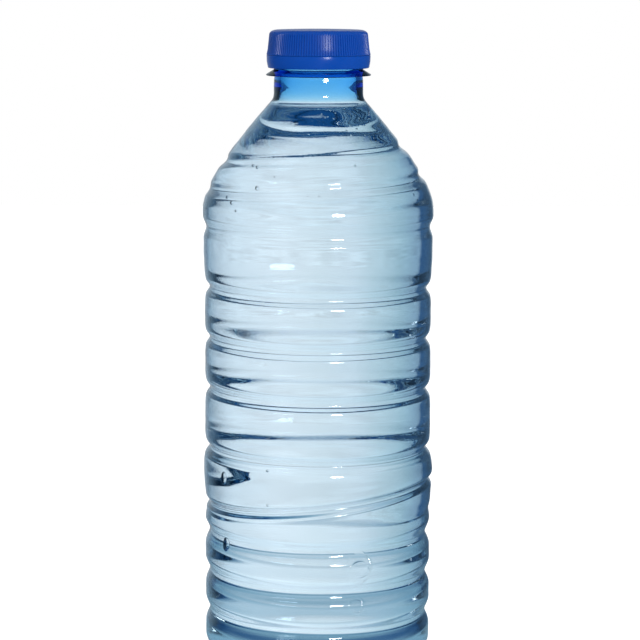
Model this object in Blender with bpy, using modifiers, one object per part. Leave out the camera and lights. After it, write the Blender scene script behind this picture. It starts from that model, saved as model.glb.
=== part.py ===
"""A half-litre water bottle, full and closed: a thin blown shell with pressed rings that have
buckled in handling, the water inside it, a knurled screw cap with its sealing disc, and the
cap's tamper band. Metres, +Z up, origin under the middle of the base, front towards -Y."""

import math

import bpy
import numpy as np

# Clearance between pieces that touch or run on each other.
GAP = 0.0003
# Flat sides of the shell and the water around the axis.
SIDES = 32

# Neck finish: the thick moulded top of the shell.
LIP_HEIGHT = 0.1973
FINISH_HEIGHT = 0.01015
FINISH_RADIUS = 0.0120
BORE_RADIUS = 0.0108
LIP_EDGE = 0.0003
NECK_RADIUS = 0.0127
NECK_LENGTH = 0.0056
# Bead that holds the tamper band down.
LOCK_RADIUS = 0.0133
LOCK_BELOW_LIP = 0.00545
LOCK_WIDTH = 0.0006
LOCK_SLOPE = 0.0005
# Support ring: a cone on top, flat underneath.
RING_RADIUS = 0.0149
RING_EDGE = 0.0003
RING_RISE = 0.0013

# Shoulder: a curve from the neck to the widest bead.
SHOULDER_TOP_DROP = 0.0021
SHOULDER_TOP_RADIUS = 0.0138
SHOULDER_SLOPE = math.radians(41)
SHOULDER_TOP_REACH = 0.0180
SHOULDER_END_REACH = 0.0070
SHOULDER_RINGS = 15
# One groove winds clockwise down the shoulder.
SPIRAL_TOP = 0.1689
SPIRAL_PITCH = 0.0081
SPIRAL_TURNS = 1.9
SPIRAL_DEPTH = 0.00085
SPIRAL_HALF_WIDTH = 0.0026

# Widest bead, the groove under it and the smooth panel.
BEAD_RADIUS = 0.0330
BEAD_TOP = 0.1488
BEAD_BOTTOM = 0.1468
COLLAR_HEIGHT = 0.1440
COLLAR_FLOOR = 0.0321
PANEL_RADIUS = 0.0328
PANEL_TOP = 0.1404
PANEL_BOTTOM = 0.1330

# Ribbed body.
BODY_RADIUS = 0.0326
UPPER_RIB_FLOOR = 0.0312
LOWER_RIB_FLOOR = 0.0315
UPPER_RIB_HALF = 0.0025
LOWER_RIB_HALF = 0.0040
UPPER_RIB_TOP = 0.1266
UPPER_RIB_PITCH = 0.0145
LOWER_RIB_TOP = 0.0557
LOWER_RIB_PITCH = 0.0118
# Two rings that handling has pushed out of their even spacing.
SLIPPED_RIB = 0.0804
BUCKLED_RIB = 0.0677

# Damage: how far each ring leans to the right-hand side, a bulge and a short crease.
UPPER_LEAN = -0.0002
BUCKLED_LEAN = 0.0037
LOWER_LEAN = -0.0005
LEAN_REACH = 0.0105
BULGE_HEIGHT = 0.0735
BULGE_REACH = 0.0070
BULGE_RISE = 0.0005
CREASE_HEIGHT = 0.0614
CREASE_REACH = 0.0030
CREASE_DEPTH = 0.0006
CREASE_ANGLE = math.radians(-15)
CREASE_SPREAD = math.radians(50)

# Base: heel, standing ring and fluted push-up.
HEEL_HEIGHT = 0.0115
STAND_OUTER = 0.0255
STAND_INNER = 0.0235
PUSH_UP_RADIUS = 0.0165
PUSH_UP_RISE = 0.0036
PUSH_UP_CENTRE = 0.0060
FLUTES = 8
FLUTE_DEPTH = 0.0011

# Walls of the shell.
WALL = 0.0003
BASE_WALL = 0.0007
WALL_BLEND = 0.0025

# Water: how far its surface lies under the lip.
HEADSPACE = 0.0193

# Screw cap.
CAP_TOP_RADIUS = 0.0141
CAP_SKIRT_RADIUS = 0.01445
CAP_BORE_RADIUS = 0.0131
CAP_TOP_WALL = 0.0013
CAP_SKIRT_OVERLAP = 0.00455
CAP_EDGE = 0.0013
CAP_HEM = 0.0004
KNURLS = 60
KNURL_DEPTH = 0.0003
LINER_THICKNESS = 0.0008
LINER_MARGIN = 0.0003

# Tamper band.
BAND_TOP_RADIUS = 0.01475
BAND_BOTTOM_RADIUS = 0.0144
BAND_HEIGHT = 0.0034
BAND_HOOK = 0.0009

RING_UNDERSIDE = LIP_HEIGHT - FINISH_HEIGHT
NECK_END = RING_UNDERSIDE - NECK_LENGTH
WATER_LEVEL = LIP_HEIGHT - HEADSPACE
CAP_TOP = LIP_HEIGHT + GAP + LINER_THICKNESS + GAP + CAP_TOP_WALL
CAP_BOTTOM = LIP_HEIGHT - CAP_SKIRT_OVERLAP


def clear_scene():
    for item in list(bpy.data.objects):
        bpy.data.objects.remove(item, do_unlink=True)


def collection(name):
    made = bpy.data.collections.new(name)
    bpy.context.scene.collection.children.link(made)
    return made


def material(name, colour, roughness, transmission=0.0, ior=1.5):
    made = bpy.data.materials.new(name)
    made.use_nodes = True
    made.diffuse_color = (*colour, 1.0)
    shader = made.node_tree.nodes["Principled BSDF"]
    shader.inputs["Base Color"].default_value = (*colour, 1.0)
    shader.inputs["Roughness"].default_value = roughness
    shader.inputs["Metallic"].default_value = 0.0
    shader.inputs["Transmission Weight"].default_value = transmission
    shader.inputs["IOR"].default_value = ior
    return made


def turned(name, profile, sides, group, coat, guide=None):
    """A closed turned body: the profile runs down its outer side in the XZ plane. The guide
    gives each profile point the point of the shell's outside that it belongs to."""
    mesh = bpy.data.meshes.new(name + "_profile")
    points = [(radius, 0.0, height) for radius, height in profile]
    edges = [(index, index + 1) for index in range(len(points) - 1)]
    mesh.from_pydata(points, edges, [])
    if guide:
        mark = mesh.attributes.new("outside", "FLOAT_VECTOR", "POINT")
        mark.data.foreach_set("vector", [part for r, z in guide for part in (r, 0.0, z)])
    drawn = bpy.data.objects.new(name + "_profile", mesh)
    group.objects.link(drawn)
    screw = drawn.modifiers.new("Screw", "SCREW")
    screw.axis = "Z"
    screw.steps = sides
    screw.render_steps = sides
    screw.use_merge_vertices = True
    screw.merge_threshold = 0.00001
    screw.use_smooth_shade = True
    evaluated = drawn.evaluated_get(bpy.context.evaluated_depsgraph_get())
    solid = bpy.data.meshes.new_from_object(evaluated)
    bpy.data.objects.remove(drawn, do_unlink=True)
    solid.name = name
    made = bpy.data.objects.new(name, solid)
    group.objects.link(made)
    solid.materials.clear()
    solid.materials.append(coat)
    return made


def smooth(made, degrees=38):
    made.data.shade_smooth()
    made.data.set_sharp_from_angle(angle=math.radians(degrees))


def cut_quads(made):
    """Splits each face at its shorter diagonal, so that facing walls bend alike."""
    split = made.modifiers.new("Triangulate", "TRIANGULATE")
    split.quad_method = "SHORTEST_DIAGONAL"


def hump(distance, reach):
    """1 in the middle, falling smoothly to 0 at the reach."""
    inside = np.clip(np.abs(distance) / reach, 0.0, 1.0)
    return np.cos(inside * math.pi / 2) ** 2


def ribs():
    """Height, half width, floor and lean of each pressed ring, from the top."""
    upper = [UPPER_RIB_TOP - UPPER_RIB_PITCH * step for step in range(3)]
    lower_count = int((LOWER_RIB_TOP - HEEL_HEIGHT - LOWER_RIB_HALF) / LOWER_RIB_PITCH) + 1
    lower = [LOWER_RIB_TOP - LOWER_RIB_PITCH * step for step in range(lower_count)]
    rows = [(height, UPPER_RIB_HALF, UPPER_RIB_FLOOR, UPPER_LEAN) for height in upper]
    rows.append((SLIPPED_RIB, UPPER_RIB_HALF, LOWER_RIB_FLOOR, UPPER_LEAN))
    rows.append((BUCKLED_RIB, UPPER_RIB_HALF, LOWER_RIB_FLOOR, BUCKLED_LEAN))
    rows += [(height, LOWER_RIB_HALF, LOWER_RIB_FLOOR, LOWER_LEAN) for height in lower]
    return rows


def shoulder_curve():
    """Points of a cubic curve from the top of the shoulder to the widest bead."""
    top = np.array([SHOULDER_TOP_RADIUS, NECK_END - SHOULDER_TOP_DROP])
    slope = np.array([math.sin(SHOULDER_SLOPE), -math.cos(SHOULDER_SLOPE)])
    end = np.array([BEAD_RADIUS, BEAD_TOP])
    top_handle = top + slope * SHOULDER_TOP_REACH
    end_handle = end + np.array([0.0, SHOULDER_END_REACH])
    points = []
    for step in range(SHOULDER_RINGS + 1):
        t = step / SHOULDER_RINGS
        weights = ((1 - t) ** 3, 3 * t * (1 - t) ** 2, 3 * t**2 * (1 - t), t**3)
        knots = (top, top_handle, end_handle, end)
        points.append(tuple(sum(w * k for w, k in zip(weights, knots))))
    return points


def body_line():
    """The outside of the shell from under the support ring to the middle of the base."""
    line = [
        (NECK_RADIUS, RING_UNDERSIDE),
        (NECK_RADIUS, NECK_END),
        (NECK_RADIUS + 0.25 * (SHOULDER_TOP_RADIUS - NECK_RADIUS), NECK_END - 0.5 * SHOULDER_TOP_DROP),
    ]
    line += shoulder_curve()
    line += [
        (BEAD_RADIUS, BEAD_BOTTOM),
        (COLLAR_FLOOR, COLLAR_HEIGHT),
        (PANEL_RADIUS, PANEL_TOP),
        (PANEL_RADIUS, PANEL_BOTTOM),
    ]
    for height, half, floor, _ in ribs():
        line.append((BODY_RADIUS, height + half))
        line.append((floor, height))
        line.append((BODY_RADIUS, height - half))
        if height == BUCKLED_RIB:
            line.append((BODY_RADIUS, CREASE_HEIGHT))
    for step in range(4):
        turn = math.radians(90) * step / 3
        radius = STAND_OUTER + (BODY_RADIUS - STAND_OUTER) * math.cos(turn)
        line.append((radius, HEEL_HEIGHT * (1 - math.sin(turn))))
    line += [
        (STAND_INNER, 0.0),
        (0.5 * (STAND_INNER + PUSH_UP_RADIUS), 0.6 * PUSH_UP_RISE),
        (PUSH_UP_RADIUS, PUSH_UP_RISE),
        (0.5 * PUSH_UP_RADIUS, PUSH_UP_CENTRE),
        (0.0, PUSH_UP_CENTRE),
    ]
    return line


def wall_at(radius, height):
    """Wall thickness: thick at the neck, thin in the body, a little thicker under the base."""
    if height < PUSH_UP_CENTRE and radius < STAND_OUTER:
        return BASE_WALL
    blend = (height - (NECK_END - WALL_BLEND)) / WALL_BLEND
    share = min(max(blend, 0.0), 1.0)
    return WALL + (NECK_RADIUS - BORE_RADIUS - WALL) * share**2


def inset(line, extra):
    """The line moved inwards by the wall and an extra clearance, kept at its corners' mitre."""
    points = np.array(line)
    steps = np.diff(points, axis=0)
    steps /= np.linalg.norm(steps, axis=1)[:, None]
    before = np.vstack([steps[:1], steps])
    after = np.vstack([steps, steps[-1:]])
    moved = []
    for point, one, two in zip(points, before, after):
        first = np.array([one[1], -one[0]])
        second = np.array([two[1], -two[0]])
        middle = first + second
        middle /= np.linalg.norm(middle)
        depth = (wall_at(*point) + extra) / max(middle @ first, 0.7)
        moved.append(point + middle * depth)
    moved[-1][0] = 0.0
    return [tuple(point) for point in moved]


def press(made):
    """Moves the turned walls: spiral groove, leaning rings, bulge, crease and base flutes."""
    mesh = made.data
    count = len(mesh.vertices)
    places = np.empty(count * 3)
    mesh.vertices.foreach_get("co", places)
    places = places.reshape(count, 3)
    radius = np.hypot(places[:, 0], places[:, 1])
    angle = np.arctan2(places[:, 1], places[:, 0])
    outside = np.empty(count * 3)
    mesh.attributes["outside"].data.foreach_get("vector", outside)
    outside = outside.reshape(count, 3)
    height = outside[:, 2]
    out = np.zeros(count)
    up = np.zeros(count)
    side = np.cos(angle)

    for rib, _, _, lean in ribs():
        up += lean * side * hump(height - rib, LEAN_REACH)
    out += BULGE_RISE * hump(height - BULGE_HEIGHT, BULGE_REACH)
    crease = hump(height - CREASE_HEIGHT, CREASE_REACH)
    out -= CREASE_DEPTH * crease * hump(angle - CREASE_ANGLE, CREASE_SPREAD)

    turns_here = (math.pi / 2 - angle) % (2 * math.pi) / (2 * math.pi)
    for lap in range(math.ceil(SPIRAL_TURNS) + 1):
        turn = turns_here + lap
        fade = np.clip(turn / 0.2, 0.0, 1.0) * np.clip((SPIRAL_TURNS - turn) / 0.2, 0.0, 1.0)
        track = SPIRAL_TOP - SPIRAL_PITCH * turn
        out -= SPIRAL_DEPTH * fade * hump(height - track, SPIRAL_HALF_WIDTH)

    middle = 0.5 * (STAND_INNER + PUSH_UP_RADIUS)
    flute = hump(outside[:, 0] - middle, 0.5 * (STAND_INNER - PUSH_UP_RADIUS))
    near_base = height < PUSH_UP_CENTRE
    up += near_base * FLUTE_DEPTH * flute * np.cos(FLUTES * angle)

    scale = np.where(radius > GAP, (radius + out) / np.maximum(radius, GAP), 1.0)
    places[:, 0] *= scale
    places[:, 1] *= scale
    places[:, 2] += up
    mesh.vertices.foreach_set("co", places.ravel())
    mesh.update()


def build_bottle(group):
    """The blown shell: neck finish, shoulder, ribbed body and base in one piece."""
    coat = material("bottle_plastic", (0.45, 0.72, 0.92), 0.05, 1.0, 1.57)
    finish = [
        (FINISH_RADIUS - LIP_EDGE, LIP_HEIGHT),
        (FINISH_RADIUS, LIP_HEIGHT - LIP_EDGE),
        (FINISH_RADIUS, LIP_HEIGHT - LOCK_BELOW_LIP),
        (LOCK_RADIUS, LIP_HEIGHT - LOCK_BELOW_LIP - LOCK_SLOPE),
        (LOCK_RADIUS, LIP_HEIGHT - LOCK_BELOW_LIP - LOCK_SLOPE - LOCK_WIDTH),
        (NECK_RADIUS, LIP_HEIGHT - LOCK_BELOW_LIP - LOCK_SLOPE - LOCK_WIDTH),
        (NECK_RADIUS, RING_UNDERSIDE + RING_EDGE + RING_RISE),
        (RING_RADIUS, RING_UNDERSIDE + RING_EDGE),
        (RING_RADIUS, RING_UNDERSIDE),
    ]
    line = body_line()
    inner = inset(line, 0.0)[:0:-1]
    bore = [(BORE_RADIUS, LIP_HEIGHT - LIP_EDGE), (BORE_RADIUS + LIP_EDGE, LIP_HEIGHT)]
    profile = inner + bore + finish + line
    guide = line[:0:-1] + bore + finish + line
    made = turned("bottle", profile, SIDES, group, coat, guide)
    press(made)
    smooth(made)
    cut_quads(made)
    return made


def build_water(group):
    """The water, level at the foot of the neck, a clearance inside the shell's walls."""
    coat = material("water", (0.75, 0.88, 0.97), 0.0, 1.0, 1.33)
    line = body_line()
    wetted = inset(line, GAP)
    first = next(index for index, point in enumerate(wetted) if point[1] < WATER_LEVEL - GAP)
    above, below = wetted[first - 1], wetted[first]
    share = (above[1] - WATER_LEVEL) / (above[1] - below[1])
    edge = above[0] + (below[0] - above[0]) * share
    surface = [(0.0, WATER_LEVEL), (edge, WATER_LEVEL)]
    made = turned("water", surface + wetted[first:], SIDES, group, coat, surface + line[first:])
    press(made)
    smooth(made)
    cut_quads(made)
    return made


def build_cap(group, cutters):
    """The screw cap: a cup with a rounded top edge and fine upright ribs round its skirt."""
    coat = material("cap_plastic", (0.011, 0.091, 0.546), 0.35)
    sides = 2 * KNURLS
    grip_top = CAP_TOP - CAP_EDGE
    grip_bottom = CAP_BOTTOM + CAP_HEM
    profile = [(0.0, CAP_TOP)]
    for step in range(4):
        turn = math.radians(90) * step / 3
        radius = CAP_TOP_RADIUS - CAP_EDGE * (1 - math.sin(turn))
        profile.append((radius, CAP_TOP - CAP_EDGE * (1 - math.cos(turn))))
    profile += [
        (CAP_SKIRT_RADIUS, grip_bottom),
        (CAP_SKIRT_RADIUS, CAP_BOTTOM),
        (0.0, CAP_BOTTOM),
    ]
    made = turned("cap", profile, sides, group, coat)
    for vertex in made.data.vertices:
        place = vertex.co
        column = round(math.atan2(place.y, place.x) / (2 * math.pi) * sides)
        on_grip = grip_bottom - GAP / 10 < place.z < grip_top + GAP / 10
        if column % 2 and on_grip:
            radius = math.hypot(place.x, place.y)
            place.x *= (radius - KNURL_DEPTH) / radius
            place.y *= (radius - KNURL_DEPTH) / radius

    ceiling = CAP_TOP - CAP_TOP_WALL
    cavity = [
        (0.0, ceiling),
        (CAP_BORE_RADIUS - LIP_EDGE, ceiling),
        (CAP_BORE_RADIUS, ceiling - LIP_EDGE),
        (CAP_BORE_RADIUS, CAP_BOTTOM - CAP_HEM),
        (0.0, CAP_BOTTOM - CAP_HEM),
    ]
    cutter = turned("cap_cavity", cavity, SIDES, cutters, coat)
    cutter.hide_render = True
    cutter.display_type = "WIRE"
    cut = made.modifiers.new("Cavity", "BOOLEAN")
    cut.operation = "DIFFERENCE"
    cut.object = cutter
    cut.solver = "EXACT"
    smooth(made, 25)
    return made


def build_liner(group):
    """The sealing disc that lies loose in the cap and presses on the lip."""
    coat = material("liner_foam", (0.83, 0.85, 0.86), 0.6)
    top = LIP_HEIGHT + GAP + LINER_THICKNESS
    rim = CAP_BORE_RADIUS - LINER_MARGIN - LIP_EDGE
    profile = [(0.0, top), (rim, top), (rim, top - LINER_THICKNESS), (0.0, top - LINER_THICKNESS)]
    made = turned("cap_liner", profile, SIDES, group, coat)
    smooth(made)
    return made


def build_band(group):
    """The tamper band: a smooth ring whose inner hook sits under the neck's bead."""
    coat = material("band_plastic", (0.011, 0.091, 0.546), 0.3)
    top = CAP_BOTTOM - GAP
    bottom = top - BAND_HEIGHT
    hook_top = LIP_HEIGHT - LOCK_BELOW_LIP - LOCK_SLOPE - LOCK_WIDTH - GAP
    clear_of_bead = LOCK_RADIUS + GAP
    clear_of_neck = NECK_RADIUS + GAP
    profile = [
        (clear_of_neck, hook_top - BAND_HOOK),
        (clear_of_neck, hook_top),
        (clear_of_bead, hook_top),
        (clear_of_bead, top),
        (BAND_TOP_RADIUS - LIP_EDGE, top),
        (BAND_TOP_RADIUS, top - LIP_EDGE),
        (BAND_BOTTOM_RADIUS, bottom + LIP_EDGE),
        (BAND_BOTTOM_RADIUS - LIP_EDGE, bottom),
        (clear_of_bead, bottom),
        (clear_of_neck, hook_top - BAND_HOOK),
    ]
    made = turned("tamper_band", profile, SIDES, group, coat)
    smooth(made)
    return made


def main():
    clear_scene()
    group = collection("water_bottle")
    cutters = collection("cutters")
    build_bottle(group)
    build_water(group)
    build_cap(group, cutters)
    build_liner(group)
    build_band(group)


main()
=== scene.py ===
"""Looks of the half-litre water bottle: the blown shell with its pressed and buckled rings, the
water with its air bubbles, the ribbed screw cap, its sealing disc and the tamper band."""

import math

import bmesh
import bpy
import numpy as np
from bpy.props import FloatProperty, FloatVectorProperty, IntProperty
from mathutils import Matrix, Vector


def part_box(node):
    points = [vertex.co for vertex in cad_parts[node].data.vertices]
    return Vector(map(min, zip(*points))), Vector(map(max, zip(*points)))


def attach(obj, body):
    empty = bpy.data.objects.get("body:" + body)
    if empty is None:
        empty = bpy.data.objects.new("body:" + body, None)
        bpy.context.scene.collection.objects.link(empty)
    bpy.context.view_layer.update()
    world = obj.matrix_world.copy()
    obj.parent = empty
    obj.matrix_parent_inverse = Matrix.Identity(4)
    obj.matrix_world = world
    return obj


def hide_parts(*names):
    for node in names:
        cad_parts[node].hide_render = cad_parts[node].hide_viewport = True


bl_info = {
    "name": "Water bottle",
    "version": (1, 0, 0),
    "blender": (4, 5, 0),
    "location": "3D View > Sidebar > Bottle",
    "description": "Makes a half-litre water bottle with its water, cap and studio",
    "category": "Object",
}

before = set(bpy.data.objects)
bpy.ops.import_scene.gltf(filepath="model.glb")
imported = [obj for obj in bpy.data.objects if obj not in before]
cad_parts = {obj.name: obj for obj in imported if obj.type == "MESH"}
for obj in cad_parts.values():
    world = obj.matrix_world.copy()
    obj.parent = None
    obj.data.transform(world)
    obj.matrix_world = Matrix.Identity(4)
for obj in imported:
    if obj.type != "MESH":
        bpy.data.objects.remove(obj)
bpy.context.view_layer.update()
LIP_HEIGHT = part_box("bottle")[1][2]
CAP_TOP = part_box("cap")[1][2]
CAP_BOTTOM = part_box("cap")[0][2]
BAND_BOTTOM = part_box("tamper_band")[0][2]
LINER_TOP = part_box("cap_liner")[1][2]
LINER_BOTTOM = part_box("cap_liner")[0][2]
WATER_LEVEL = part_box("water")[1][2]
BEAD_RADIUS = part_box("bottle")[1][0]
BAND_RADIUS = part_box("tamper_band")[1][0]
LINER_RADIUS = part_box("cap_liner")[1][0]

# Ends of the smooth panel under the bead, and of the stretch where the wall widens to the lower rings.
PANEL_FOOT, PANEL_HEAD = 0.1365, 0.1385
LOWER_FULL, LOWER_START = 0.088, 0.097
# Depths under the neck's end over which the wall's foot runs out, and the inside stops moving level.
FOOT_LOW, FOOT_HIGH = 0.012, 0.004
LEVEL_LOW, LEVEL_HIGH = 0.006, 0.002
# Heights between which the wall grows more uneven, and by how much.
UNEVEN_FOOT, UNEVEN_HEAD, UNEVEN_MORE = 0.150, 0.166, 1.5
# Share of an upper ring's depth that its core has; its shallow flanks have the rest.
UPPER_CORE = 0.72
# Steps down the body: in and near the rings, and elsewhere.
FINE_STEP, COARSE_STEP = 0.0004, 0.0008
# Shares of a turn over which a groove and a thread run out at their ends.
GROOVE_FADE, THREAD_FADE = 0.2, 0.08
# Rounding of the lip's edges, and the bead under the lip that holds the tamper band.
LIP_EDGE, LOCK_SLOPE, LOCK_WIDTH = 0.0003, 0.0005, 0.0006
# Clearance between the band and the neck, and between the liner and the cap.
GAP = 0.0003
# Corners of the band, the liner, the support ring and the cap's lower edge.
SMALL_EDGE, TINY_EDGE = 0.0003, 0.0001
# Seam between cap and band, and how deep the lip has pressed into the liner.
SEAM = PRINT_DEPTH = 0.00006
# The same wall or height, give or take this.
NEAR = 0.00001
# Flatness of a bubble at the wall, and how deep it lies.
BUBBLE_FLAT, BUBBLE_DEPTH = 0.45, 0.0001
# How far from the wall the water's edge rises, and how sharply.
EDGE_REACH, EDGE_CURVE = 0.0025, 0.0007
# The support ring's tint: half heights where it ends and is full, and its soft edge at the neck.
TINT_END, TINT_FULL, TINT_SOFT = 0.0011, 0.0008, 0.0004
OUTLINE_HALF = 0.0005
WHITE = (1.0, 1.0, 1.0, 1.0)

# Light round the bottle by direction in degrees, 0 behind it and 90 to its right: through, mirrored.
THROUGH = (
    (-180, 0.80, 0.85, 0.90),
    (-105, 0.80, 0.85, 0.90),
    (-80, 0.025, 0.080, 0.20),
    (-41, 0.025, 0.080, 0.20),
    (-37.5, 0.41, 0.51, 0.61),
    (-30, 0.42, 0.53, 0.60),
    (-24, 0.47, 0.58, 0.62),
    (-14, 0.67, 0.73, 0.75),
    (-8, 0.84, 0.84, 0.86),
    (0, 0.90, 0.88, 0.88),
    (5, 0.96, 0.92, 0.92),
    (9, 1.00, 0.95, 0.95),
    (46, 0.95, 0.93, 0.95),
    (52, 0.86, 0.93, 0.97),
    (57, 0.02, 0.07, 0.16),
    (85, 0.02, 0.07, 0.16),
    (105, 0.80, 0.85, 0.90),
    (180, 0.80, 0.85, 0.90),
)
MIRRORED = (
    (-180, 0.008, 0.035, 0.09),
    (-65, 0.008, 0.035, 0.09),
    (-45, 0.18, 0.28, 0.38),
    (-15, 0.45, 0.50, 0.55),
    (10, 0.55, 0.60, 0.65),
    (22, 0.08, 0.14, 0.22),
    (70, 0.05, 0.11, 0.20),
    (110, 0.08, 0.13, 0.22),
    (140, 0.008, 0.035, 0.09),
    (180, 0.008, 0.035, 0.09),
)
# Unevenness of the wall: waves round the axis, crests a metre, phase, share.
WAVES = (
    (3, 32.0, 0.4, 1.0),
    (-4, 61.0, 2.1, 1.0),
    (2, 113.0, 4.0, 1.0),
    (5, 171.0, 1.2, 1.0),
    (-3, 233.0, 5.3, 1.0),
    (2, 337.0, 0.9, 0.6),
    (-1, 421.0, 3.3, 0.5),
)
# Thin round outlines moulded in the wall: degrees to the right of the front, height, radius.
OUTLINES = (
    (21.4, 0.0520, 0.0036),
    (21.4, 0.0500, 0.0030),
    (19.9, 0.0405, 0.0021),
)
# Air bubbles at the water's wall: degrees to the right of the front, height, radius, flatness.
BUBBLES = (
    (-43.6, 0.1626, 0.00050, 1.0),
    (-39.3, 0.1623, 0.00055, 1.0),
    (-34.6, 0.1570, 0.00065, 1.0),
    (-54.0, 0.1538, 0.00060, 0.8),
    (-48.7, 0.1526, 0.00065, 0.8),
    (-44.5, 0.1506, 0.00045, 0.7),
    (-25.0, 0.1602, 0.00025, 1.0),
    (-5.3, 0.1553, 0.00025, 0.8),
    (0.5, 0.1553, 0.00025, 0.8),
    (22.7, 0.1631, 0.00035, 1.0),
    (-25.9, 0.0785, 0.00040, 1.0),
    (-25.4, 0.0689, 0.00035, 1.0),
    (-54.6, 0.0743, 0.00130, 1.4),
    (-56.7, 0.0546, 0.00160, 1.4),
    (58.0, 0.1545, 0.00040, 1.0),
    (60.0, 0.1530, 0.00035, 1.0),
)


def length(name, default, description=""):
    return FloatProperty(name=name, description=description, default=default, unit="LENGTH", precision=5)


def angle(name, degrees, description=""):
    return FloatProperty(
        name=name, description=description, default=math.radians(degrees), subtype="ANGLE", precision=4
    )


def number(name, default, description=""):
    return FloatProperty(name=name, description=description, default=default)


def whole(name, default, description=""):
    return IntProperty(name=name, description=description, default=default)


def colour(name, default, description):
    return FloatVectorProperty(
        name=name, description=description, default=default, subtype="COLOR", size=3, min=0.0, max=1.0
    )


class ShellSettings(bpy.types.PropertyGroup):
    sides: whole("Sides", 108, "Steps of the shell and the water round the axis")
    finish_radius: length("Finish radius", 0.0120, "Neck outside at the root of the thread")
    bore_radius: length("Bore radius", 0.0108, "Inside of the neck")
    neck_radius: length("Neck radius", 0.0127, "Tube under the support ring")
    neck_draft: length("Neck draft", 0.0002, "How much narrower that tube is at its top")
    ring_radius: length("Ring radius", 0.0149, "Tip of the support ring")
    ring_underside: length("Ring underside", LIP_HEIGHT - 0.01035, "Height of the support ring's flat side")
    ring_rise: length("Ring rise", 0.0013, "Height of the support ring's cone")
    ring_edge: length("Ring edge", 0.0004, "Thickness of the support ring's tip")
    neck_end: length("Neck end", LIP_HEIGHT - 0.01590, "Height at which the shoulder starts")
    lock_radius: length("Lock bead radius", 0.0133, "Bead that holds the tamper band")
    lock_top: length("Lock bead top", LIP_HEIGHT - 0.00545, "Upper edge of that bead")
    shoulder_radius: length("Shoulder radius", 0.0138, "Radius at which the shoulder curve starts")
    shoulder_drop: length("Shoulder drop", 0.0021, "From the neck's end down to that place")
    shoulder_slope: angle("Shoulder slope", 41.0, "Slope of the shoulder's top, from upright")
    shoulder_top_reach: length("Top reach", 0.0180, "Handle of the shoulder curve at its top")
    shoulder_end_reach: length("End reach", 0.0070, "Handle of the shoulder curve at the bead")
    bead_top: length("Bead top", 0.1488, "Height at which the shoulder meets the widest bead")
    collar_height: length("Collar height", 0.1441, "Groove under the widest bead")
    collar_half: length("Collar half width", 0.0032)
    collar_depth: length("Collar depth", 0.00088)
    body_radius: length("Body radius", 0.03252, "Crests between the upper rings")
    panel_extra: length("Panel", 0.0003, "How much wider the smooth panel is")
    lower_extra: length("Lower body", 0.00008, "How much wider the lower crests are")
    upper_half: length("Upper half width", 0.0025, "Half width of the upper rings' core")
    lower_half: length("Lower half width", 0.0041)
    flank: length("Flank", 0.0046, "Half width of the upper rings' shallow flanks")
    upper_top: length("First ring", 0.1267, "Height of the first ring")
    upper_pitch: length("Upper pitch", 0.01455, "Between the upper rings")
    upper_depth: length("Upper depth", 0.0014)
    slipped: length("Slipped ring", 0.0804, "Ring that has slipped down")
    slipped_depth: length("Slipped depth", 0.0014)
    buckled: length("Buckled ring", 0.0678, "Ring that is buckled into a slant")
    buckled_half: length("Buckled half width", 0.0021)
    buckled_depth: length("Buckled depth", 0.0013)
    lower_top: length("First lower ring", 0.0556)
    lower_pitch: length("Lower pitch", 0.0117, "Between the lower rings")
    lower_depth: length("Lower depth", 0.0012)
    upper_lean: length("Upper lean", -0.0002, "Rise of the upper rings at the right-hand side")
    buckled_lean: length("Buckle", 0.0036, "Rise of the buckled ring at the right-hand side")
    lower_lean: length("Lower lean", -0.0004, "Rise of the lower rings at the right-hand side")
    lean_reach: length("Lean reach", 0.0105, "How far above and below a ring its lean fades out")
    bulge_height: length("Bulge height", 0.0735, "Middle of the bulged stretch")
    bulge_reach: length("Bulge reach", 0.0095, "Half height of the bulged stretch")
    bulge_rise: length("Bulge rise", 0.0005, "How far the wall bulges")
    swing: length("Swing", 0.0004, "How far the buckled stretch is pushed to the right")
    crease_height: length("Crease height", 0.0612, "Height of the short crease, before the lean")
    crease_reach: length("Crease reach", 0.0018, "Half width of the short crease")
    crease_depth: length("Crease depth", 0.0005)
    crease_angle: angle("Crease place", -15.0, "Angle of the crease round the axis")
    crease_spread: angle("Crease spread", 50.0, "How far the crease reaches to each side")
    spiral_top: length("Spiral top", 0.1689, "Height at which the shoulder's groove starts")
    spiral_pitch: length("Spiral pitch", 0.0081, "Drop of that groove in a turn")
    spiral_turns: number("Spiral turns", 1.9)
    spiral_depth: length("Spiral depth", 0.00085)
    spiral_half: length("Spiral half width", 0.0023)
    heel_height: length("Heel height", 0.0115)
    stand_outer: length("Standing ring outside", 0.0255)
    stand_inner: length("Standing ring inside", 0.0235)
    push_radius: length("Push-up radius", 0.0165, "Radius of the push-up's first step")
    push_rise: length("Push-up rise", 0.0036, "Height of that step")
    push_centre: length("Push-up centre", 0.0060, "Height of the push-up's middle")
    flutes: whole("Flutes", 8, "Radial flutes under the base")
    flute_depth: length("Flute depth", 0.0011)
    wall: length("Wall", 0.00026, "Wall of the body")
    base_wall: length("Base wall", 0.0007, "Wall under the base")
    thick_end: length("Thick end", LIP_HEIGHT - 0.0115, "Height at which the neck's wall starts to thin out")
    thin_start: length("Thin start", LIP_HEIGHT - 0.0175, "Height from which the wall is thin")
    foot_wall: length("Foot wall", 0.00012, "What the wall has more where the neck meets the shoulder")
    ripple: length("Ripple", 0.00001, "Unevenness of the blown wall")
    absorbed: colour("Tint", (0.19, 0.735, 0.975), "What thick bottle plastic lets through")
    ring_tint: colour("Ring tint", (0.02, 0.20, 0.80), "Deeper colour of the thick support ring")
    density: number("Tint density", 800.0, "Strength of the tint")
    ior: number("Refraction", 1.57, "Index of the bottle plastic")


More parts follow.
